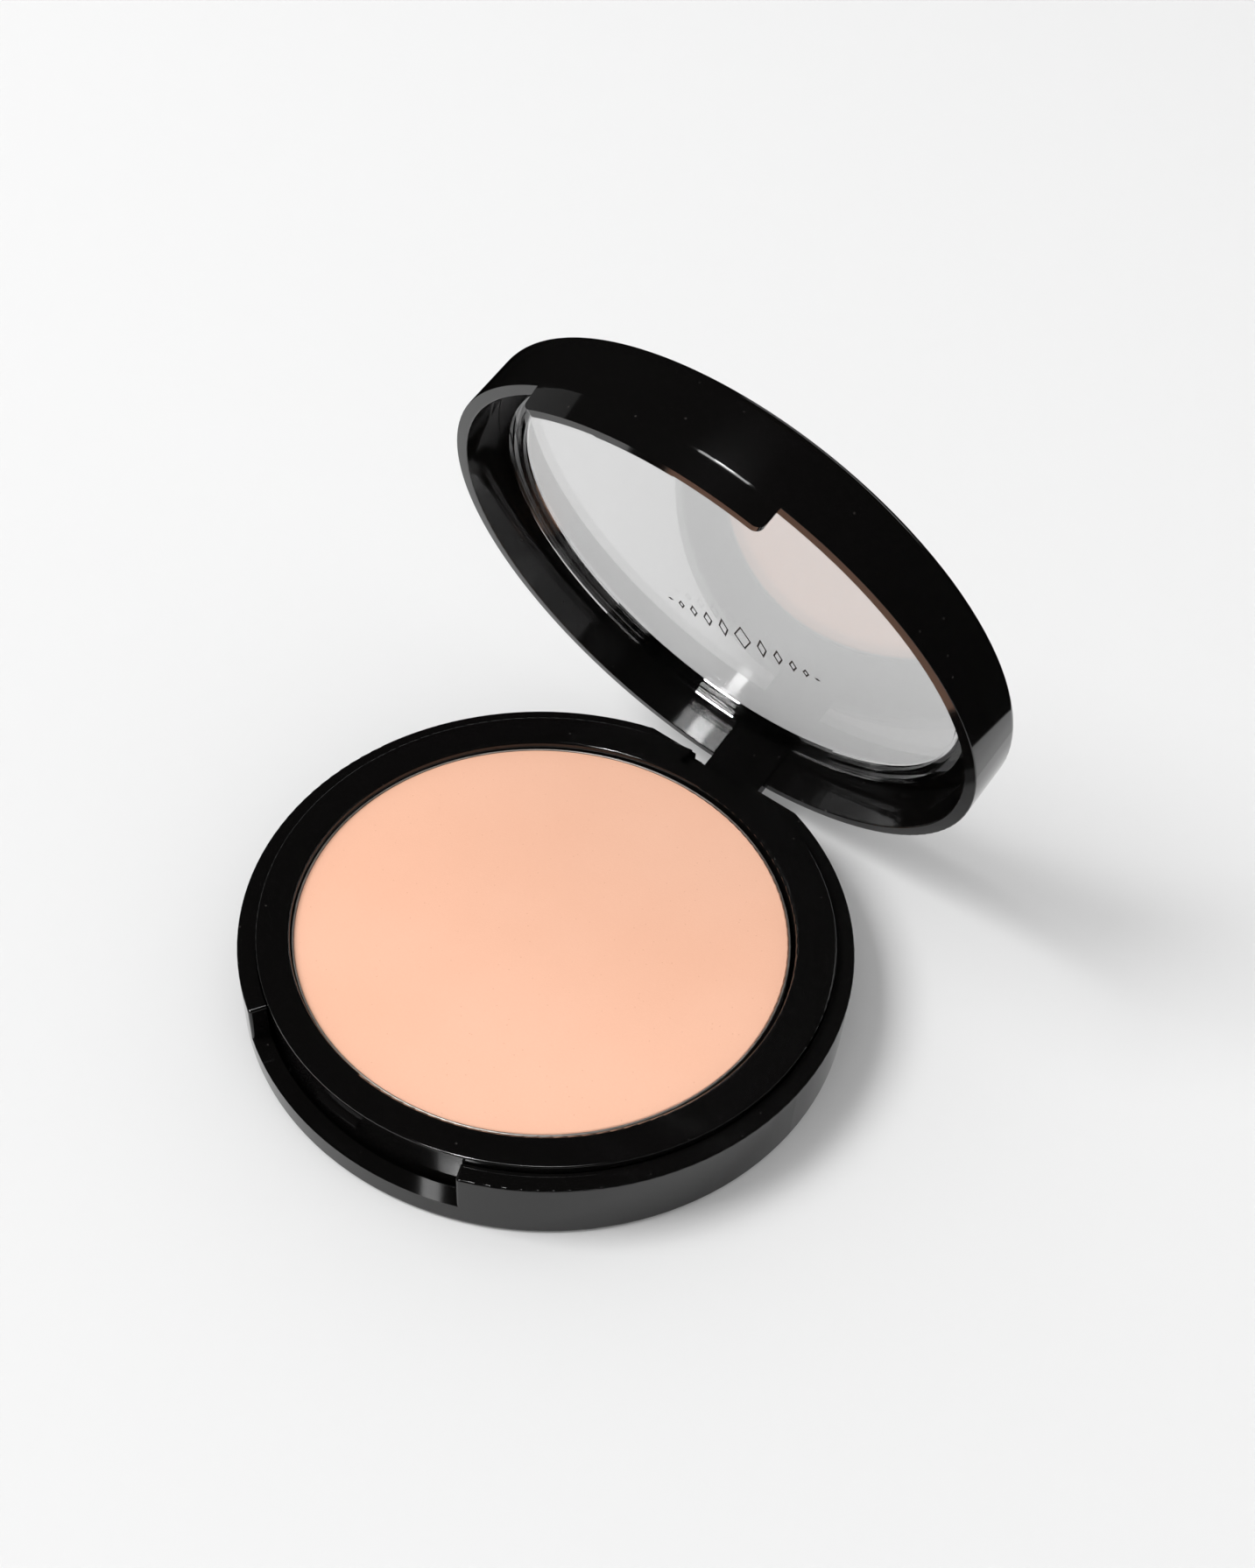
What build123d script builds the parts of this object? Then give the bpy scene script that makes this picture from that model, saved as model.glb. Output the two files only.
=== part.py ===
"""Round powder compact: a hinged lid with a clear window over a base that holds a pan of powder.

The origin is the centre of the base's flat underside, +Z is up, the hinge runs along X at the
rear (+Y) and the thumb recess faces -Y. The lid is drawn standing open.
"""
import os
from math import cos, radians, sin, sqrt

from build123d import *

# ---------------------------------------------------------------- driving dimensions (mm)
# Base shell
BASE_RADIUS = 36.5
BASE_HEIGHT = 8.4
SHELL_BORE_RADIUS = 34.4
SHELL_FLOOR = 1.4
FOOT_EDGE_RADIUS = 0.6
SHELL_RIM_RADIUS = 0.2
UNDERSIDE_RADIUS = 32.0
UNDERSIDE_DEPTH = 0.3
LABEL_RADIUS = 24.0
LABEL_THICKNESS = 0.15

# Thumb recess at the front, relief at the rear
RECESS_HALF_ANGLE = 26.0
RECESS_FLOOR = 3.2
RECESS_EDGE_RADIUS = 0.4
RELIEF_Y = 34.5
RELIEF_HALF_WIDTH = 13.0

# Base insert: the raised ring round the powder well
INSERT_RADIUS = 34.3
INSERT_TOP = 9.4
INSERT_SKIRT = 1.2
INSERT_UNDERCUT = 0.7
INSERT_PLATE_BOTTOM = 7.3
INSERT_EDGE_RADIUS = 0.2
WELL_CENTRE_Y = -0.65
WELL_RADIUS = 29.85
WELL_WALL = 1.2
WELL_FLOOR_TOP = 4.4
WELL_FLOOR_THICKNESS = 1.0
WELL_MOUTH_RADIUS = 0.35
POCKET_HALF_WIDTH = 4.6
POCKET_Y = 31.2

# Powder pan, glued in a little left of the well's middle, and what is in it and under it
PAN_CENTRE = (-0.25, WELL_CENTRE_Y)
PAN_RADIUS = 29.55
PAN_WALL = 0.25
PAN_BOTTOM = 4.7
PAN_TOP = 8.45
PAN_CORNER_RADIUS = 0.6
CAKE_TOP = 8.38
CAKE_EDGE_RADIUS = 0.2
ADHESIVE_RADIUS = 24.0

# Latch: a bar on the insert and a lip on the lid's tab
BAR_HALF_ANGLE = 5.0
BAR_RADIUS = 34.75
BAR_BOTTOM = 6.2
BAR_TOP = 7.4
CATCH_HALF_ANGLE = 8.0
CATCH_RADIUS = 34.9
CATCH_HEIGHT = 0.8

# Hinge
HINGE_Y = 34.65
HINGE_Z = 4.35
PIN_RADIUS = 0.6
PIN_HALF_LENGTH = 7.6
EAR_BORE_RADIUS = 0.61
LUG_BORE_RADIUS = 0.64
KNUCKLE_RADIUS = 1.9
EAR_BARREL_RADIUS = 1.95
EAR_HALF_WIDTH = 8.1
EAR_TOP = 7.0
NOTCH_HALF_WIDTH = 4.35
NOTCH_FRONT_Y = 32.4
NOTCH_FLOOR = 2.1
PLATE_NOTCH_Y = 33.4
LUG_HALF_WIDTH = 4.15
SLIT_WIDTH = 0.15
SLIT_TOP = 6.0
OPEN_ANGLE = 68.7

# Lid; its heights are measured from its rim plane
LID_RIM_Z = 8.5
LID_RADIUS = 36.6
LID_BORE_RADIUS = 35.1
LID_HEIGHT = 8.0
LID_TOP_EDGE_RADIUS = 1.2
LID_RIM_EDGE_RADIUS = 0.12
LID_STEP_HEIGHT = 4.4
LID_STEP_RADIUS = 35.0
LID_PLATE_BOTTOM = 7.2
WINDOW_OPENING_RADIUS = 31.0
TAB_HALF_ANGLE = 24.8
TAB_DEPTH = 3.05
TAB_OUTER_RADIUS = 36.2
TAB_INNER_RADIUS = 35.15
TAB_CORNER_RADIUS = 1.1
TAB_ROOT = 0.4
TAB_CREASE_RADIUS = 5.0

# Window and the ring that holds it
WINDOW_RADIUS = 30.9
WINDOW_TOP = 7.9
WINDOW_UNDERSIDE = 5.8
FLANGE_RADIUS = 33.7
FLANGE_BOTTOM = 6.65
FLANGE_TOP = 7.15
SKIRT_RADIUS = 32.3
SKIRT_BOTTOM = 4.6
SKIRT_STEPS = 3
SKIRT_STEP_WIDTH = 0.8
RING_RADIUS = 34.95
RING_BORE_RADIUS = 32.4
RING_FACE = 6.0
RING_LEDGE_RADIUS = 33.75
RING_LEDGE_TOP = 6.6

REACH = 80.0  # longer than the compact, for cuts that pass right through


# ---------------------------------------------------------------- placement
def wedge(half_angle):
    """Corners of a triangle from the centre towards -Y that spans the given angle."""
    x = REACH * sin(radians(half_angle))
    y = -REACH * cos(radians(half_angle))
    return [(0, 0), (x, y), (-x, y)]


OPEN_SIN = sin(radians(OPEN_ANGLE))
OPEN_COS = cos(radians(OPEN_ANGLE))
LID_HINGE_Z = HINGE_Z - LID_RIM_Z  # height of the hinge axis in the lid's own frame

side = Plane.YZ
section = Plane.XZ
lid_rim = Plane(
    origin=(
        0,
        HINGE_Y - HINGE_Y * OPEN_COS - LID_HINGE_Z * OPEN_SIN,
        HINGE_Z + HINGE_Y * OPEN_SIN - LID_HINGE_Z * OPEN_COS,
    ),
    x_dir=(1, 0, 0),
    z_dir=(0, OPEN_SIN, OPEN_COS),
)
lid_section = Plane(origin=lid_rim.origin, x_dir=lid_rim.x_dir, z_dir=-lid_rim.y_dir)
lid_side = Plane(origin=lid_rim.origin, x_dir=lid_rim.y_dir, z_dir=lid_rim.x_dir)
lid_axis = Axis(lid_rim.origin, lid_rim.z_dir)


# ---------------------------------------------------------------- base shell
with BuildPart() as base_shell:
    with BuildSketch(section):
        Rectangle(BASE_RADIUS, BASE_HEIGHT, align=Align.MIN)
        with Locations((0, SHELL_FLOOR)):
            Rectangle(SHELL_BORE_RADIUS, BASE_HEIGHT, align=Align.MIN, mode=Mode.SUBTRACT)
    revolve(axis=Axis.Z)
    wall_edges = base_shell.edges().filter_by(GeomType.CIRCLE).group_by(SortBy.RADIUS)[-1]
    fillet(wall_edges.sort_by(Axis.Z)[0], FOOT_EDGE_RADIUS)
    wall_edges = base_shell.edges().filter_by(GeomType.CIRCLE).group_by(SortBy.RADIUS)[-1]
    fillet(wall_edges.sort_by(Axis.Z)[-1], SHELL_RIM_RADIUS)

    # One block for the two hinge ears, which the notch divides
    with BuildSketch(Plane.XY.offset(SHELL_FLOOR)):
        with Locations((0, NOTCH_FRONT_Y)):
            ear_depth = RELIEF_Y - NOTCH_FRONT_Y
            Rectangle(2 * EAR_HALF_WIDTH, ear_depth, align=(Align.CENTER, Align.MIN))
    extrude(amount=EAR_TOP - SHELL_FLOOR)

    # Relief that the lid's rear wall swings into, rounded about the hinge axis
    with BuildSketch(side):
        with BuildLine():
            relief_foot = HINGE_Z + sqrt(EAR_BARREL_RADIUS**2 - (HINGE_Y - RELIEF_Y) ** 2)
            crown = (
                HINGE_Y + EAR_BARREL_RADIUS * sin(radians(45)),
                HINGE_Z + EAR_BARREL_RADIUS * cos(radians(45)),
            )
            back = (HINGE_Y + EAR_BARREL_RADIUS, HINGE_Z)
            Line((RELIEF_Y, REACH), (RELIEF_Y, relief_foot))
            ThreePointArc((RELIEF_Y, relief_foot), crown, back)
            Polyline(back, (REACH, HINGE_Z), (REACH, REACH), (RELIEF_Y, REACH))
        make_face()
    extrude(amount=RELIEF_HALF_WIDTH, both=True, mode=Mode.SUBTRACT)

    # Notch for the lid's lug
    with BuildSketch(Plane.XY.offset(NOTCH_FLOOR)):
        with Locations((0, NOTCH_FRONT_Y)):
            Rectangle(2 * NOTCH_HALF_WIDTH, REACH, align=(Align.CENTER, Align.MIN))
    extrude(amount=REACH, mode=Mode.SUBTRACT)

    # Thumb recess, its upright outer edges and its lip rounded
    with BuildSketch(Plane.XY.offset(RECESS_FLOOR)):
        Polygon(*wedge(RECESS_HALF_ANGLE), align=None)
    extrude(amount=REACH, mode=Mode.SUBTRACT)
    recess_edges = base_shell.edges().filter_by(Axis.Z).filter_by_position(Axis.Y, -BASE_RADIUS, 0)
    fillet(recess_edges.group_by(Axis.Y)[0], RECESS_EDGE_RADIUS)

    # Pin bore, open at the right so that the pin can be pushed in
    with BuildSketch(side.offset(-PIN_HALF_LENGTH)):
        with Locations((HINGE_Y, HINGE_Z)):
            Circle(EAR_BORE_RADIUS)
    extrude(amount=REACH, mode=Mode.SUBTRACT)

    # Hollow underside, which leaves a foot ring
    with BuildSketch(Plane.XY):
        Circle(UNDERSIDE_RADIUS)
    extrude(amount=UNDERSIDE_DEPTH, mode=Mode.SUBTRACT)


# ---------------------------------------------------------------- latch bar of the insert
with BuildPart() as latch_bar:
    with BuildSketch(section):
        with BuildLine():
            Polyline(
                (INSERT_RADIUS - INSERT_SKIRT / 2, BAR_BOTTOM),
                (INSERT_RADIUS, BAR_BOTTOM),
                (BAR_RADIUS, BAR_BOTTOM + 0.3),
                (BAR_RADIUS, BAR_TOP - 0.4),
                (INSERT_RADIUS, BAR_TOP),
                (INSERT_RADIUS - INSERT_SKIRT / 2, BAR_TOP),
                close=True,
            )
        make_face()
    revolve(axis=Axis.Z)
    with BuildSketch(Plane.XY):
        Polygon(*wedge(BAR_HALF_ANGLE), align=None)
    extrude(amount=REACH, mode=Mode.INTERSECT)


# ---------------------------------------------------------------- base insert
with BuildPart() as base_insert:
    with BuildSketch(section):
        with BuildLine():
            Polyline(
                (0, INSERT_PLATE_BOTTOM),
                (INSERT_RADIUS - INSERT_SKIRT, INSERT_PLATE_BOTTOM),
                (INSERT_RADIUS - INSERT_SKIRT, SHELL_FLOOR),
                (INSERT_RADIUS - INSERT_UNDERCUT, SHELL_FLOOR),
                (INSERT_RADIUS, INSERT_TOP),
                (0, INSERT_TOP),
                close=True,
            )
        make_face()
    revolve(axis=Axis.Z)
    fillet(base_insert.edges().filter_by(GeomType.CIRCLE).sort_by(Axis.Z)[-1], INSERT_EDGE_RADIUS)

    # Well for the pan, with its floor and a rounded mouth
    with BuildSketch(Plane.XY.offset(WELL_FLOOR_TOP - WELL_FLOOR_THICKNESS)):
        with Locations((0, WELL_CENTRE_Y)):
            Circle(WELL_RADIUS + WELL_WALL)
    extrude(amount=INSERT_PLATE_BOTTOM + WELL_FLOOR_THICKNESS - WELL_FLOOR_TOP)
    with BuildSketch(Plane.XY.offset(WELL_FLOOR_TOP)):
        with Locations((0, WELL_CENTRE_Y)):
            Circle(WELL_RADIUS)
    extrude(amount=REACH, mode=Mode.SUBTRACT)
    top_edges = base_insert.edges().filter_by(GeomType.CIRCLE).group_by(Axis.Z)[-1]
    fillet(top_edges.sort_by(SortBy.RADIUS)[0], WELL_MOUTH_RADIUS)

    # Room for the hinge ears, the notch for the lug and the shallow pocket in front of it
    for half_width, front_y, bottom, top in (
        (EAR_HALF_WIDTH + 0.2, NOTCH_FRONT_Y - 0.2, 0, INSERT_PLATE_BOTTOM),
        (NOTCH_HALF_WIDTH, PLATE_NOTCH_Y, 0, REACH),
        (POCKET_HALF_WIDTH, POCKET_Y, BASE_HEIGHT, REACH),
    ):
        with BuildSketch(Plane.XY.offset(bottom)):
            with Locations((0, front_y)):
                Rectangle(2 * half_width, REACH, align=(Align.CENTER, Align.MIN))
        extrude(amount=top - bottom, mode=Mode.SUBTRACT)
    add(latch_bar.part)


# ---------------------------------------------------------------- pan, powder, adhesive, label
with BuildPart() as powder_pan:
    with BuildSketch(Plane.XY.offset(PAN_BOTTOM)):
        with Locations(PAN_CENTRE):
            Circle(PAN_RADIUS)
    extrude(amount=PAN_TOP - PAN_BOTTOM)
    fillet(powder_pan.edges().group_by(Axis.Z)[0], PAN_CORNER_RADIUS)
    offset(amount=-PAN_WALL, openings=powder_pan.faces().sort_by(Axis.Z)[-1])
    fillet(powder_pan.edges().group_by(Axis.Z)[-1], 0.1)

with BuildPart() as powder_cake:
    with BuildSketch(Plane.XY.offset(PAN_BOTTOM + PAN_WALL)):
        with Locations(PAN_CENTRE):
            Circle(PAN_RADIUS - PAN_WALL)
    extrude(amount=CAKE_TOP - PAN_BOTTOM - PAN_WALL)
    fillet(powder_cake.edges().group_by(Axis.Z)[0], PAN_CORNER_RADIUS - PAN_WALL)
    fillet(powder_cake.edges().group_by(Axis.Z)[-1], CAKE_EDGE_RADIUS)

with BuildPart() as pan_adhesive:
    with BuildSketch(Plane.XY.offset(WELL_FLOOR_TOP)):
        with Locations(PAN_CENTRE):
            Circle(ADHESIVE_RADIUS)
    extrude(amount=PAN_BOTTOM - WELL_FLOOR_TOP)

with BuildPart() as base_label:
    with BuildSketch(Plane.XY.offset(UNDERSIDE_DEPTH - LABEL_THICKNESS)):
        Circle(LABEL_RADIUS)
    extrude(amount=LABEL_THICKNESS)


# ---------------------------------------------------------------- hinge pin
with BuildPart() as hinge_pin:
    with BuildSketch(side.offset(-PIN_HALF_LENGTH)):
        with Locations((HINGE_Y, HINGE_Z)):
            Circle(PIN_RADIUS)
    extrude(amount=2 * PIN_HALF_LENGTH)


# ---------------------------------------------------------------- tab of the lid
with BuildPart() as lid_tab:
    with BuildSketch(lid_section) as tab_profile:
        with BuildLine():
            Polyline(
                (TAB_INNER_RADIUS, TAB_ROOT),
                (LID_RADIUS, TAB_ROOT),
                (LID_RADIUS, 0),
                (TAB_OUTER_RADIUS, -TAB_DEPTH),
                (TAB_INNER_RADIUS, -TAB_DEPTH),
                close=True,
            )
        make_face()
        fillet(tab_profile.vertices().sort_by_distance((LID_RADIUS, 0))[0], TAB_CREASE_RADIUS)
    revolve(axis=lid_axis)
    with BuildSketch(lid_rim.offset(-TAB_DEPTH - 1)):
        Polygon(*wedge(TAB_HALF_ANGLE), align=None)
    extrude(amount=TAB_DEPTH + 2, mode=Mode.INTERSECT)
    corners = lid_tab.edges().filter_by(GeomType.LINE).group_by(lid_axis)[0]
    fillet(corners, TAB_CORNER_RADIUS)


# ---------------------------------------------------------------- catch lip inside the tab
with BuildPart() as catch_lip:
    with BuildSketch(lid_section):
        with BuildLine():
            Polyline(
                (TAB_INNER_RADIUS + 0.3, -TAB_DEPTH),
                (CATCH_RADIUS + 0.1, -TAB_DEPTH),
                (CATCH_RADIUS, -TAB_DEPTH + 0.1),
                (CATCH_RADIUS, -TAB_DEPTH + 0.4),
                (TAB_INNER_RADIUS, -TAB_DEPTH + CATCH_HEIGHT),
                (TAB_INNER_RADIUS + 0.3, -TAB_DEPTH + CATCH_HEIGHT),
                close=True,
            )
        make_face()
    revolve(axis=lid_axis)
    with BuildSketch(lid_rim.offset(-TAB_DEPTH - 1)):
        Polygon(*wedge(CATCH_HALF_ANGLE), align=None)
    extrude(amount=TAB_DEPTH, mode=Mode.INTERSECT)


# ---------------------------------------------------------------- lug of the lid, with its knuckle
with BuildPart() as lid_lug:
    with BuildSketch(lid_rim.offset(LID_HINGE_Z)):
        Circle(LID_RADIUS)
        Circle(LID_BORE_RADIUS, mode=Mode.SUBTRACT)
    extrude(amount=SLIT_TOP + 0.5 - LID_HINGE_Z)
    with BuildSketch(lid_side):
        with Locations((HINGE_Y, LID_HINGE_Z)):
            Circle(KNUCKLE_RADIUS)
    extrude(amount=LUG_HALF_WIDTH, both=True)
    with BuildSketch(lid_rim.offset(LID_HINGE_Z - KNUCKLE_RADIUS)):
        with Locations((0, HINGE_Y)):
            Rectangle(2 * LUG_HALF_WIDTH, 4 * KNUCKLE_RADIUS)
    extrude(amount=REACH, mode=Mode.INTERSECT)


# ---------------------------------------------------------------- lid shell
with BuildPart() as lid_shell:
    with BuildSketch(lid_section):
        Rectangle(LID_RADIUS, LID_HEIGHT, align=Align.MIN)
        Rectangle(LID_BORE_RADIUS, LID_STEP_HEIGHT, align=Align.MIN, mode=Mode.SUBTRACT)
        Rectangle(LID_STEP_RADIUS, LID_PLATE_BOTTOM, align=Align.MIN, mode=Mode.SUBTRACT)
        Rectangle(WINDOW_OPENING_RADIUS, LID_HEIGHT, align=Align.MIN, mode=Mode.SUBTRACT)
    revolve(axis=lid_axis)
    top_edges = lid_shell.edges().group_by(lid_axis)[-1].sort_by(SortBy.RADIUS)
    fillet(top_edges[-1], LID_TOP_EDGE_RADIUS)
    fillet(top_edges[0], LID_RIM_EDGE_RADIUS)
    fillet(lid_shell.edges().group_by(lid_axis)[0], LID_RIM_EDGE_RADIUS)

    # Opening in the rear wall, then the lug, with a slit left on each side of it
    slit_half_width = LUG_HALF_WIDTH + SLIT_WIDTH
    with BuildSketch(lid_rim.offset(-1)):
        with Locations((0, HINGE_Y)):
            Rectangle(2 * slit_half_width, 4 * KNUCKLE_RADIUS)
    extrude(amount=SLIT_TOP + 1, mode=Mode.SUBTRACT)
    add(lid_lug.part)
    with BuildSketch(lid_side):
        with Locations((HINGE_Y, LID_HINGE_Z)):
            Circle(LUG_BORE_RADIUS)
    extrude(amount=slit_half_width, both=True, mode=Mode.SUBTRACT)

    add(lid_tab.part)
    add(catch_lip.part)


# ---------------------------------------------------------------- window and its retaining ring
with BuildPart() as lid_window:
    with BuildSketch(lid_section):
        with Locations((0, WINDOW_UNDERSIDE)):
            Rectangle(WINDOW_RADIUS, WINDOW_TOP - WINDOW_UNDERSIDE, align=Align.MIN)
        with Locations((0, FLANGE_BOTTOM)):
            Rectangle(FLANGE_RADIUS, FLANGE_TOP - FLANGE_BOTTOM, align=Align.MIN)
        Rectangle(
            SKIRT_RADIUS - SKIRT_STEPS * SKIRT_STEP_WIDTH,
            WINDOW_UNDERSIDE,
            align=Align.MIN,
            mode=Mode.SUBTRACT,
        )
        for step in range(SKIRT_STEPS):
            step_depth = (FLANGE_BOTTOM - SKIRT_BOTTOM) * (step + 1) / SKIRT_STEPS
            with Locations((SKIRT_RADIUS, FLANGE_BOTTOM - step_depth)):
                Rectangle(
                    (SKIRT_STEPS - step) * SKIRT_STEP_WIDTH,
                    step_depth,
                    align=(Align.MAX, Align.MIN),
                )
    revolve(axis=lid_axis)

with BuildPart() as lid_retaining_ring:
    with BuildSketch(lid_section):
        with Locations((0, RING_FACE)):
            Rectangle(RING_RADIUS, LID_PLATE_BOTTOM - RING_FACE, align=Align.MIN)
            Rectangle(RING_BORE_RADIUS, REACH, align=Align.MIN, mode=Mode.SUBTRACT)
        with Locations((0, RING_LEDGE_TOP)):
            Rectangle(RING_LEDGE_RADIUS, REACH, align=Align.MIN, mode=Mode.SUBTRACT)
    revolve(axis=lid_axis)


# ---------------------------------------------------------------- one STEP file for each piece
pieces = {
    "base_shell": base_shell,
    "base_insert": base_insert,
    "powder_pan": powder_pan,
    "powder_cake": powder_cake,
    "pan_adhesive": pan_adhesive,
    "base_label": base_label,
    "hinge_pin": hinge_pin,
    "lid_shell": lid_shell,
    "lid_window": lid_window,
    "lid_retaining_ring": lid_retaining_ring,
}
os.makedirs("parts", exist_ok=True)
for name, piece in pieces.items():
    piece.part.label = name
    export_step(piece.part, f"parts/{name}.step")
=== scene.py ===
"""Round powder compact standing open on a pale studio floor. Metres, +Z up, hinge at +Y."""

import math

import bmesh
import bpy
from mathutils import Matrix, Vector


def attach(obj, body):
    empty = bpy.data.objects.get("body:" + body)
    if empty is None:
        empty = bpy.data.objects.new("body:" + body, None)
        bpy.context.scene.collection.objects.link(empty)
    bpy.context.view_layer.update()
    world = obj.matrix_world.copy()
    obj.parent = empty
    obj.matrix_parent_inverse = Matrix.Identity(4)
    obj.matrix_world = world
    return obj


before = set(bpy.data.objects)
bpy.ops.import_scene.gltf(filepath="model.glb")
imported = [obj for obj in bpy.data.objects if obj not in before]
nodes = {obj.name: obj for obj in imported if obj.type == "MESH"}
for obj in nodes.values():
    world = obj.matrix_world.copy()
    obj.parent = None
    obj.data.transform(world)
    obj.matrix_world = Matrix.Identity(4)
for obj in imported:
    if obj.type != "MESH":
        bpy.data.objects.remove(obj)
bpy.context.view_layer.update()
scene = bpy.context.scene
scene.view_settings.view_transform = "Standard"

MM = 0.001

# The lid's place, as in the CAD model; mm and degrees
HINGE_Y = 34.65
HINGE_Z = 4.35
LID_RIM_Z = 8.5
OPEN_ANGLE = 68.7
WINDOW_UNDERSIDE = 5.8

# The ornament printed inside the window; mm. Each lozenge has its centre, half width and half height.
PRINT_Y = 10.4
STROKE = 0.22
INK_THICKNESS = 0.02
OPEN_LOZENGES = (
    (0, 1.3, 2.6),
    (2.9, 0.75, 2.1),
    (5.3, 0.7, 1.7),
    (7.5, 0.6, 1.3),
    (9.4, 0.5, 0.9),
)
END_LOZENGE = (11.1, 0.45, 0.25)

# Colours, and the darkest and lightest of the mottled ones
BLACK = (0.0036, 0.0034, 0.0033)
DUST = (0.03, 0.028, 0.026)
WINDOW_TINT = (0.74, 0.74, 0.74)
WINDOW_SHADOW = (0.88, 0.88, 0.88)
PAN_COLOURS = ((0.34, 0.32, 0.3), (0.45, 0.43, 0.4))
STEEL_COLOURS = ((0.5, 0.5, 0.51), (0.68, 0.68, 0.69))
ADHESIVE_COLOURS = ((0.6, 0.59, 0.54), (0.8, 0.79, 0.75))
LABEL_COLOURS = ((0.01, 0.01, 0.01), (0.028, 0.028, 0.028))
INK_COLOURS = ((0.004, 0.004, 0.004), (0.014, 0.014, 0.014))
POWDER_DEEP = (0.955, 0.535, 0.37)
POWDER_LIGHT = (0.985, 0.575, 0.41)
POWDER_SPECK = (0.75, 0.36, 0.22)
PAPER = (0.82, 0.82, 0.82)

# The paper round the compact: flat, then swept up into a wall; metres
TABLE_RADIUS = 0.11
GROUND_MIDDLE = 0.5
GROUND_FLAT = 0.9
SWEEP_RADIUS = 0.3
SWEEP_STEPS = 12
WALL_TOP = 0.75
TURN_STEPS = 128

# The softboxes: name, azimuth, elevation, distance, width, height, power, and whether it lights or only
# shines; degrees, metres and watts
AIM = Vector((0, 0, 0.02))
SKY = 0.585
SOFTBOXES = (
    ("key", -48, 50, 2.4, 1.05, 1.05, 40, True),
    ("overhead", 0, 89.6, 0.8, 0.26, 0.1, 0.9, False),
    ("overhead_core", 0, 89.6, 0.79, 0.1, 0.045, 0.45, False),
    ("front", 0, 68, 0.8, 0.11, 0.1, 1.6, False),
    ("front_core", 0, 68, 0.79, 0.05, 0.05, 2.2, False),
    ("recess", 0, 48, 0.8, 0.07, 0.06, 1.1, False),
    ("low_front", 12, 18, 0.8, 0.2, 0.06, 0.12, False),
    ("left", -97, 26, 0.8, 0.18, 0.26, 0.045, False),
    ("back", 180, 18, 1.0, 0.7, 0.2, 0.6, False),
)

# The camera; degrees, metres, and mm for the lens and sensor
CAMERA_AZIMUTH = 39.048
CAMERA_ELEVATION = 44.224
CAMERA_ROLL = 2.546
CAMERA_POSITION = (0.083492, -0.100226, 0.164419)
FOCAL_LENGTH = 39.0
SENSOR_WIDTH = 36
SHIFT = (0.0370, -0.0241)
CLIP_START = 0.01


# ---------------------------------------------------------------- materials
def new_material(name):
    """A material, its node tree and its Principled shader."""
    material = bpy.data.materials.new(name)
    material.use_nodes = True
    tree = material.node_tree
    return material, tree, tree.nodes["Principled BSDF"]


def texture(tree, kind, scale):
    """A texture in object space. All textures of one material share its coordinate node."""
    coordinates = tree.nodes.get("Texture Coordinate") or tree.nodes.new("ShaderNodeTexCoord")
    node = tree.nodes.new(kind)
    node.inputs["Scale"].default_value = scale
    tree.links.new(coordinates.outputs["Object"], node.inputs["Vector"])
    return node


def noise(tree, scale, detail=2.0, roughness=0.5):
    """A noise texture's value."""
    node = texture(tree, "ShaderNodeTexNoise", scale)
    node.inputs["Detail"].default_value = detail
    node.inputs["Roughness"].default_value = roughness
    return node.outputs["Fac"]


def cells(tree, scale):
    """The distance to the nearest of a scatter of points."""
    return texture(tree, "ShaderNodeTexVoronoi", scale).outputs["Distance"]


def remap(tree, value, span, target):
    """A value mapped from one range to another, clamped."""
    node = tree.nodes.new("ShaderNodeMapRange")
    node.inputs["From Min"].default_value = span[0]
    node.inputs["From Max"].default_value = span[1]
    node.inputs["To Min"].default_value = target[0]
    node.inputs["To Max"].default_value = target[1]
    tree.links.new(value, node.inputs["Value"])
    return node.outputs["Result"]


def bump(tree, height, strength, distance):
    """A normal bent by a height, whose full step is the given distance in metres."""
    node = tree.nodes.new("ShaderNodeBump")
    node.inputs["Strength"].default_value = strength
    node.inputs["Distance"].default_value = distance
    tree.links.new(height, node.inputs["Height"])
    return node.outputs["Normal"]


def mix_colour(tree, factor, low, high):
    """A colour between two, by a factor. The first may be a colour or another node's output."""
    node = tree.nodes.new("ShaderNodeMix")
    node.data_type = "RGBA"
    if isinstance(low, tuple):
        node.inputs[6].default_value = (*low, 1)
    else:
        tree.links.new(low, node.inputs[6])
    node.inputs[7].default_value = (*high, 1)
    tree.links.new(factor, node.inputs[0])
    return node.outputs[2]


def mottled(name, colours, rough, scale, detail, roughness=0.6, metallic=0.0):
    """A material whose colour follows a noise, and whose roughness does too if it is given as a pair."""
    material, tree, shader = new_material(name)
    shader.inputs["Metallic"].default_value = metallic
    pattern = noise(tree, scale, detail, roughness)
    tree.links.new(mix_colour(tree, pattern, *colours), shader.inputs["Base Color"])
    if isinstance(rough, tuple):
        tree.links.new(remap(tree, pattern, (0.3, 0.7), rough), shader.inputs["Roughness"])
    else:
        shader.inputs["Roughness"].default_value = rough
    return material


# Polished black plastic with patchy gloss from handling and a few grains of dust
black, tree, shader = new_material("black_gloss")
shader.inputs["IOR"].default_value = 1.46
shader.inputs["Specular IOR Level"].default_value = 0.44
gloss = remap(tree, noise(tree, scale=40), (0.35, 0.7), (0.06, 0.085))
tree.links.new(gloss, shader.inputs["Roughness"])
waves = bump(tree, noise(tree, scale=120), strength=0.004, distance=0.00001)
tree.links.new(waves, shader.inputs["Normal"])
grains = remap(tree, cells(tree, scale=420), (0.03, 0.07), (1, 0))
tree.links.new(mix_colour(tree, grains, BLACK, DUST), shader.inputs["Base Color"])

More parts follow.
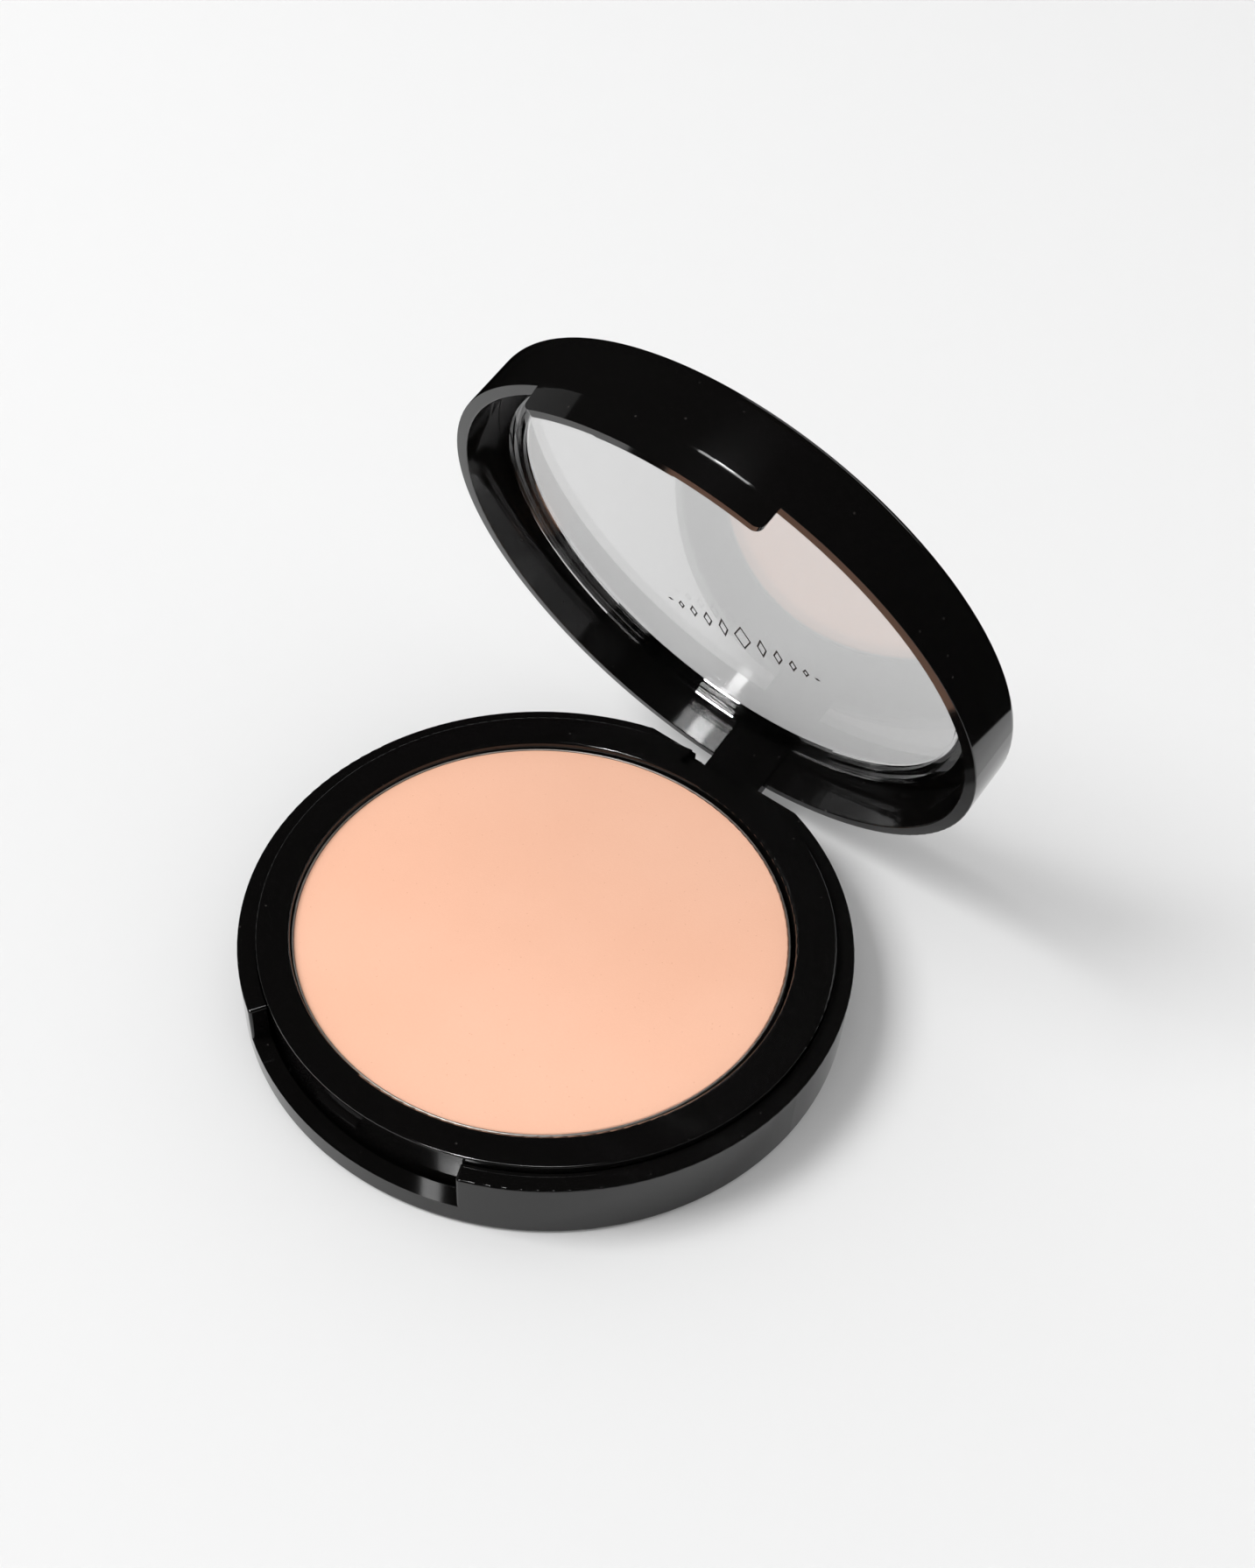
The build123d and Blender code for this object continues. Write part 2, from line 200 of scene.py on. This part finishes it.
# Clear plastic with a slight haze, which lets light through to what lies below it
clear, tree, shader = new_material("clear_plastic")
shader.inputs["Base Color"].default_value = (*WINDOW_TINT, 1)
shader.inputs["Transmission Weight"].default_value = 1.0
shader.inputs["IOR"].default_value = 1.49
haze = remap(tree, noise(tree, scale=16), (0.35, 0.75), (0.02, 0.045))
tree.links.new(haze, shader.inputs["Roughness"])
rays = tree.nodes.new("ShaderNodeLightPath")
pane = tree.nodes.new("ShaderNodeBsdfTransparent")
pane.inputs["Color"].default_value = (*WINDOW_SHADOW, 1)
either = tree.nodes.new("ShaderNodeMixShader")
tree.links.new(rays.outputs["Is Shadow Ray"], either.inputs[0])
tree.links.new(shader.outputs["BSDF"], either.inputs[1])
tree.links.new(pane.outputs["BSDF"], either.inputs[2])
tree.links.new(either.outputs["Shader"], tree.nodes["Material Output"].inputs["Surface"])

# Pressed powder: soft clouds and fine grain in its colour, scattered darker specks, a grainy surface
powder, tree, shader = new_material("powder")
shader.inputs["Roughness"].default_value = 0.85
shader.inputs["Specular IOR Level"].default_value = 0.15
grain = noise(tree, scale=5200, detail=3, roughness=0.6)
tone = tree.nodes.new("ShaderNodeMix")
tone.inputs["Factor"].default_value = 0.3
tree.links.new(noise(tree, scale=38, detail=3), tone.inputs["A"])
tree.links.new(grain, tone.inputs["B"])
ramp = tree.nodes.new("ShaderNodeValToRGB")
deep, light = ramp.color_ramp.elements
deep.position = 0.35
deep.color = (*POWDER_DEEP, 1)
light.position = 0.65
light.color = (*POWDER_LIGHT, 1)
tree.links.new(tone.outputs["Result"], ramp.inputs["Fac"])
specks = remap(tree, cells(tree, scale=900), (0.03, 0.1), (0.5, 0))
speckled = mix_colour(tree, specks, ramp.outputs["Color"], POWDER_SPECK)
tree.links.new(speckled, shader.inputs["Base Color"])
tree.links.new(bump(tree, grain, strength=0.5, distance=0.00003), shader.inputs["Normal"])

metal = mottled("pan_metal", PAN_COLOURS, (0.42, 0.55), scale=900, detail=3, metallic=1.0)
steel = mottled("pin_steel", STEEL_COLOURS, (0.22, 0.36), scale=1500, detail=3, metallic=1.0)
glue = mottled("adhesive", ADHESIVE_COLOURS, 0.7, scale=700, detail=4)
label = mottled("label", LABEL_COLOURS, (0.38, 0.52), scale=3000, detail=3)
ink = mottled("ink", INK_COLOURS, 0.4, scale=2500, detail=2, roughness=0.5)

paper, tree, shader = new_material("paper")
shader.inputs["Base Color"].default_value = (*PAPER, 1)
shader.inputs["Roughness"].default_value = 0.9
shader.inputs["Specular IOR Level"].default_value = 0.1

for node_name, material in {
    "base_shell": black,
    "base_insert": black,
    "lid_shell": black,
    "lid_retaining_ring": black,
    "lid_window": clear,
    "powder_pan": metal,
    "powder_cake": powder,
    "pan_adhesive": glue,
    "base_label": label,
    "hinge_pin": steel,
}.items():
    mesh = nodes[node_name].data
    mesh.materials.clear()
    mesh.materials.append(material)


# ---------------------------------------------------------------- printed ornament inside the window
def lid_point(x, y, z):
    """A point in the lid's own frame, its rim plane at z = 0, with the lid standing open; in mm."""
    turn = math.radians(OPEN_ANGLE)
    y_arm = y - HINGE_Y
    z_arm = z + LID_RIM_Z - HINGE_Z
    return Vector(
        (
            x * MM,
            (HINGE_Y + y_arm * math.cos(turn) + z_arm * math.sin(turn)) * MM,
            (HINGE_Z - y_arm * math.sin(turn) + z_arm * math.cos(turn)) * MM,
        )
    )


def lozenge(x, half_width, half_height):
    """The corners of a lozenge on the ornament's centre line, in mm."""
    return [(x - half_width, 0), (x, -half_height), (x + half_width, 0), (x, half_height)]


def printed(name, shapes):
    """Thin printed shapes on the window's underside, each with an outer loop and an inner one or none."""
    mesh = bmesh.new()
    for outer, inner in shapes:
        upper_outer, upper_inner, lower_outer, lower_inner = [
            [mesh.verts.new(lid_point(x, y + PRINT_Y, z)) for x, y in loop]
            for z in (WINDOW_UNDERSIDE, WINDOW_UNDERSIDE - INK_THICKNESS)
            for loop in (outer, inner)
        ]
        for i in range(len(outer)):
            j = (i + 1) % len(outer)
            mesh.faces.new((upper_outer[i], upper_outer[j], lower_outer[j], lower_outer[i]))
            if inner:
                mesh.faces.new((upper_inner[j], upper_inner[i], lower_inner[i], lower_inner[j]))
                mesh.faces.new((upper_outer[j], upper_outer[i], upper_inner[i], upper_inner[j]))
                mesh.faces.new((lower_outer[i], lower_outer[j], lower_inner[j], lower_inner[i]))
        if not inner:
            mesh.faces.new(upper_outer[::-1])
            mesh.faces.new(lower_outer)
    bmesh.ops.recalc_face_normals(mesh, faces=mesh.faces)
    data = bpy.data.meshes.new(name)
    mesh.to_mesh(data)
    mesh.free()
    data.materials.append(ink)
    obj = bpy.data.objects.new(name, data)
    scene.collection.objects.link(obj)
    return obj


shapes = []
for x, half_width, half_height in OPEN_LOZENGES:
    slope = math.hypot(half_width, half_height)
    inset_width = half_width - STROKE * slope / half_height
    inset_height = half_height - STROKE * slope / half_width
    for centre in (-x, x) if x else (x,):
        outer = lozenge(centre, half_width, half_height)
        shapes.append((outer, lozenge(centre, inset_width, inset_height)))
x, half_width, half_height = END_LOZENGE
for centre in (-x, x):
    shapes.append((lozenge(centre, half_width, half_height), []))
ornament = printed("window_ornament", shapes)
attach(ornament, "lid")


# ---------------------------------------------------------------- studio
def towards(azimuth, elevation):
    """The unit vector at an azimuth and elevation in degrees; azimuth 0 is the front, at -Y."""
    a = math.radians(azimuth)
    e = math.radians(elevation)
    return Vector((math.sin(a) * math.cos(e), -math.cos(a) * math.cos(e), math.sin(e)))


def turned_surface(name, profile):
    """A paper surface turned about Z from (radius, height) pairs, closed where the radius is zero."""
    verts = []
    faces = []
    rings = []
    for r, z in profile:
        if r == 0:
            rings.append([len(verts)] * TURN_STEPS)
            verts.append((0, 0, z))
            continue
        rings.append([len(verts) + i for i in range(TURN_STEPS)])
        for i in range(TURN_STEPS):
            turn = 2 * math.pi * i / TURN_STEPS
            verts.append((r * math.cos(turn), r * math.sin(turn), z))
    for lower, upper in zip(rings, rings[1:]):
        for i in range(TURN_STEPS):
            j = (i + 1) % TURN_STEPS
            if lower[i] == lower[j]:
                faces.append((lower[i], upper[i], upper[j]))
            else:
                faces.append((lower[i], upper[i], upper[j], lower[j]))
    mesh = bpy.data.meshes.new(name)
    mesh.from_pydata(verts, [], faces)
    for polygon in mesh.polygons:
        polygon.use_smooth = True
    mesh.materials.append(paper)
    obj = bpy.data.objects.new(name, mesh)
    scene.collection.objects.link(obj)
    return obj


def softbox(name, azimuth, elevation, distance, width, height, power, lights):
    """A softbox facing the compact. It either lights, unseen by glossy surfaces, or only shines in them."""
    lamp = bpy.data.lights.new(name, "AREA")
    lamp.shape = "RECTANGLE"
    lamp.size = width
    lamp.size_y = height
    lamp.energy = power
    obj = bpy.data.objects.new(name, lamp)
    scene.collection.objects.link(obj)
    direction = towards(azimuth, elevation)
    obj.location = AIM + direction * distance
    obj.rotation_euler = direction.to_track_quat("Z", "Y").to_euler()
    obj.visible_glossy = not lights
    obj.visible_transmission = not lights
    obj.visible_diffuse = lights


# The table under the compact, and the wider ground, which glossy surfaces don't mirror
turned_surface("table", [(0, 0), (TABLE_RADIUS, 0)])
bend = [(TABLE_RADIUS, 0), (GROUND_MIDDLE, 0), (GROUND_FLAT, 0)]
for i in range(1, SWEEP_STEPS + 1):
    turn = math.radians(90 * i / SWEEP_STEPS)
    bend.append((GROUND_FLAT + SWEEP_RADIUS * math.sin(turn), SWEEP_RADIUS * (1 - math.cos(turn))))
bend.append((GROUND_FLAT + SWEEP_RADIUS, WALL_TOP))
ground = turned_surface("ground", bend)
ground.visible_glossy = False

# Even light from all round, which glossy and clear surfaces don't see
world = bpy.data.worlds.new("world")
scene.world = world
world.use_nodes = True
sky = world.node_tree.nodes["Background"]
sky.inputs["Color"].default_value = (1, 1, 1, 1)
sky.inputs["Strength"].default_value = SKY
world.cycles_visibility.glossy = False
world.cycles_visibility.transmission = False

for settings in SOFTBOXES:
    softbox(*settings)


# ---------------------------------------------------------------- camera
backwards = towards(CAMERA_AZIMUTH, CAMERA_ELEVATION)
level = math.radians(CAMERA_AZIMUTH)
right = Vector((math.cos(level), math.sin(level), 0))
up = backwards.cross(right)
roll = Matrix.Rotation(math.radians(CAMERA_ROLL), 3, backwards)
axes = Matrix((roll @ right, roll @ up, backwards)).transposed()
camera_data = bpy.data.cameras.new("camera")
camera_data.sensor_width = SENSOR_WIDTH
camera_data.lens = FOCAL_LENGTH
camera_data.shift_x, camera_data.shift_y = SHIFT
camera_data.clip_start = CLIP_START
camera = bpy.data.objects.new("camera", camera_data)
scene.collection.objects.link(camera)
camera.matrix_world = Matrix.Translation(CAMERA_POSITION) @ axes.to_4x4()
scene.camera = camera
